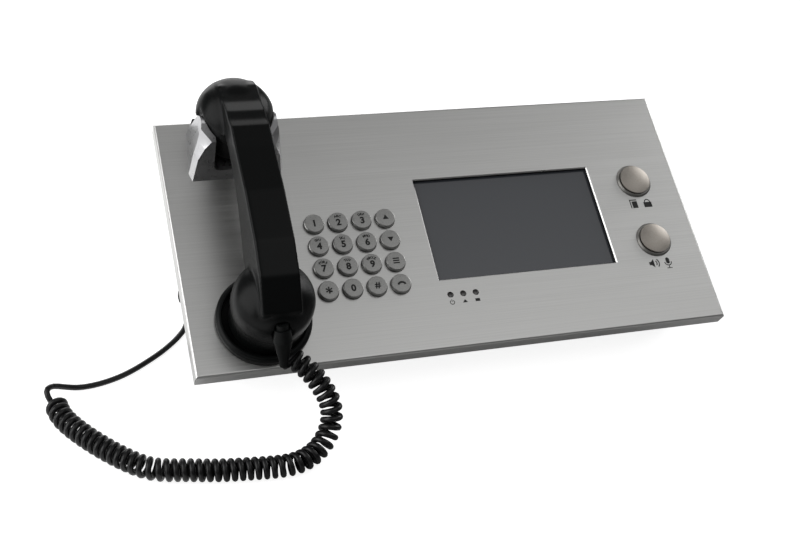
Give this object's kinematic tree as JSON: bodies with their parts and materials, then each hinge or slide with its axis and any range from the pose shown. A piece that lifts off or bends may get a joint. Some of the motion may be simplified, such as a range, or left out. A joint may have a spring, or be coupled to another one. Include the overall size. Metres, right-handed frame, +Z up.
{
  "type": "concierge intercom station",
  "caption": "Tilted stainless desk console with a handset on a cradle, round keys, a screen, lamps and large push buttons over a wedge housing.",
  "frame": {"origin": "middle of the footprint on the desk, under the feet, measured without the cord", "axes": "+X along the console to the right of the user, +Y away from the user, +Z up"},
  "size_m": [0.5267, 0.2676, 0.176],
  "materials": {
    "brushed_plate": "brushed from side to side, satin",
    "key_metal": "satin zinc alloy with dark printed legends",
    "button_metal": "satin domed stainless steel",
    "collar_metal": "dark satin steel",
    "cast_metal": "bright polished casting",
    "housing_paint": "fine matt powder coat",
    "zinc": "zinc plated",
    "handset_plastic": "satin black with a soft sheen",
    "cup_plastic": "satin black",
    "black_rubber": "matt black",
    "cord_jacket": "semi-matt black jacket",
    "switch_plastic": "moulded black",
    "board": "green solder mask",
    "window_glass": "tinted flat glass",
    "display_face": "dark unlit display",
    "lamp_lens": "dark unlit lens",
    "speaker_black": "black frame and cone",
    "capsule_metal": "plain metal can"
  },
  "bodies": {
    "console": {"face_plate": "brushed_plate", "housing": "housing_paint", "base_plate": "housing_paint", "base_screws": "zinc", "rubber_feet": "black_rubber", "plate_nuts": "zinc", "stud_nuts": "zinc", "cradle": "cast_metal", "cradle_screws": "zinc", "mouth_cup": "cup_plastic", "cup_screws": "zinc", "hook_bracket": "zinc", "hook_pin": "zinc", "hook_switch": "switch_plastic", "keypad_frame": "switch_plastic", "keypad_mat": "black_rubber", "keypad_board": "board", "screen_gasket": "black_rubber", "screen_window": "window_glass", "display_panel": "display_face", "display_bracket": "zinc", "indicator_lamps": "lamp_lens", "indicator_board": "board", "button_collars": "collar_metal", "button_nuts": "zinc", "button_switches": "switch_plastic", "main_board": "board", "board_spacers": "zinc", "loudspeaker": "speaker_black", "microphone": "black_rubber", "line_socket": "switch_plastic", "cord_gland": "cup_plastic", "gland_nut": "zinc", "cord_tail": "cord_jacket", "curly_cord": "cord_jacket"},
    "handset": {"handset_body": "handset_plastic", "ear_cap": "handset_plastic", "mouth_cap": "handset_plastic", "earpiece_capsule": "capsule_metal", "mouthpiece_capsule": "capsule_metal", "handset_boot": "black_rubber"},
    "hook_lever": {"hook_lever": "zinc"},
    "key_1": {"key_1": "key_metal"},
    "key_2": {"key_2": "key_metal"},
    "key_3": {"key_3": "key_metal"},
    "key_up": {"key_up": "key_metal"},
    "key_4": {"key_4": "key_metal"},
    "key_5": {"key_5": "key_metal"},
    "key_6": {"key_6": "key_metal"},
    "key_down": {"key_down": "key_metal"},
    "key_7": {"key_7": "key_metal"},
    "key_8": {"key_8": "key_metal"},
    "key_9": {"key_9": "key_metal"},
    "key_menu": {"key_menu": "key_metal"},
    "key_star": {"key_star": "key_metal"},
    "key_0": {"key_0": "key_metal"},
    "key_hash": {"key_hash": "key_metal"},
    "key_call": {"key_call": "key_metal"},
    "unlock_button": {"unlock_button": "button_metal"},
    "handsfree_button": {"handsfree_button": "button_metal"}
  },
  "joints": [
    {"name": "handset_lift", "type": "slide", "parent": "console", "child": "handset", "axis": [0, -0.4226, 0.9063], "range_m": [0, 0.06]},
    {"name": "hook_lever_swing", "type": "hinge", "parent": "console", "child": "hook_lever", "pos_m": [-0.1565, 0.05662, 0.0971], "axis": [1, 0, 0], "range_deg": [0, 8]},
    {"name": "key_1_press", "type": "slide", "parent": "console", "child": "key_1", "axis": [0, 0.4226, -0.9063], "range_m": [0, 0.0012], "stiffness_N_per_m": 600, "springref_m": -0.001},
    {"name": "key_2_press", "type": "slide", "parent": "console", "child": "key_2", "axis": [0, 0.4226, -0.9063], "range_m": [0, 0.0012], "stiffness_N_per_m": 600, "springref_m": -0.001},
    {"name": "key_3_press", "type": "slide", "parent": "console", "child": "key_3", "axis": [0, 0.4226, -0.9063], "range_m": [0, 0.0012], "stiffness_N_per_m": 600, "springref_m": -0.001},
    {"name": "key_up_press", "type": "slide", "parent": "console", "child": "key_up", "axis": [0, 0.4226, -0.9063], "range_m": [0, 0.0012], "stiffness_N_per_m": 600, "springref_m": -0.001},
    {"name": "key_4_press", "type": "slide", "parent": "console", "child": "key_4", "axis": [0, 0.4226, -0.9063], "range_m": [0, 0.0012], "stiffness_N_per_m": 600, "springref_m": -0.001},
    {"name": "key_5_press", "type": "slide", "parent": "console", "child": "key_5", "axis": [0, 0.4226, -0.9063], "range_m": [0, 0.0012], "stiffness_N_per_m": 600, "springref_m": -0.001},
    {"name": "key_6_press", "type": "slide", "parent": "console", "child": "key_6", "axis": [0, 0.4226, -0.9063], "range_m": [0, 0.0012], "stiffness_N_per_m": 600, "springref_m": -0.001},
    {"name": "key_down_press", "type": "slide", "parent": "console", "child": "key_down", "axis": [0, 0.4226, -0.9063], "range_m": [0, 0.0012], "stiffness_N_per_m": 600, "springref_m": -0.001},
    {"name": "key_7_press", "type": "slide", "parent": "console", "child": "key_7", "axis": [0, 0.4226, -0.9063], "range_m": [0, 0.0012], "stiffness_N_per_m": 600, "springref_m": -0.001},
    {"name": "key_8_press", "type": "slide", "parent": "console", "child": "key_8", "axis": [0, 0.4226, -0.9063], "range_m": [0, 0.0012], "stiffness_N_per_m": 600, "springref_m": -0.001},
    {"name": "key_9_press", "type": "slide", "parent": "console", "child": "key_9", "axis": [0, 0.4226, -0.9063], "range_m": [0, 0.0012], "stiffness_N_per_m": 600, "springref_m": -0.001},
    {"name": "key_menu_press", "type": "slide", "parent": "console", "child": "key_menu", "axis": [0, 0.4226, -0.9063], "range_m": [0, 0.0012], "stiffness_N_per_m": 600, "springref_m": -0.001},
    {"name": "key_star_press", "type": "slide", "parent": "console", "child": "key_star", "axis": [0, 0.4226, -0.9063], "range_m": [0, 0.0012], "stiffness_N_per_m": 600, "springref_m": -0.001},
    {"name": "key_0_press", "type": "slide", "parent": "console", "child": "key_0", "axis": [0, 0.4226, -0.9063], "range_m": [0, 0.0012], "stiffness_N_per_m": 600, "springref_m": -0.001},
    {"name": "key_hash_press", "type": "slide", "parent": "console", "child": "key_hash", "axis": [0, 0.4226, -0.9063], "range_m": [0, 0.0012], "stiffness_N_per_m": 600, "springref_m": -0.001},
    {"name": "key_call_press", "type": "slide", "parent": "console", "child": "key_call", "axis": [0, 0.4226, -0.9063], "range_m": [0, 0.0012], "stiffness_N_per_m": 600, "springref_m": -0.001},
    {"name": "unlock_button_press", "type": "slide", "parent": "console", "child": "unlock_button", "axis": [0, 0.4226, -0.9063], "range_m": [0, 0.0018], "stiffness_N_per_m": 700, "springref_m": -0.0018},
    {"name": "handsfree_button_press", "type": "slide", "parent": "console", "child": "handsfree_button", "axis": [0, 0.4226, -0.9063], "range_m": [0, 0.0018], "stiffness_N_per_m": 700, "springref_m": -0.0018}
  ],
  "couplings": [
    {"joint": "hook_lever_swing", "follows": "handset_lift", "rad_per_m": 2.3}
  ]
}
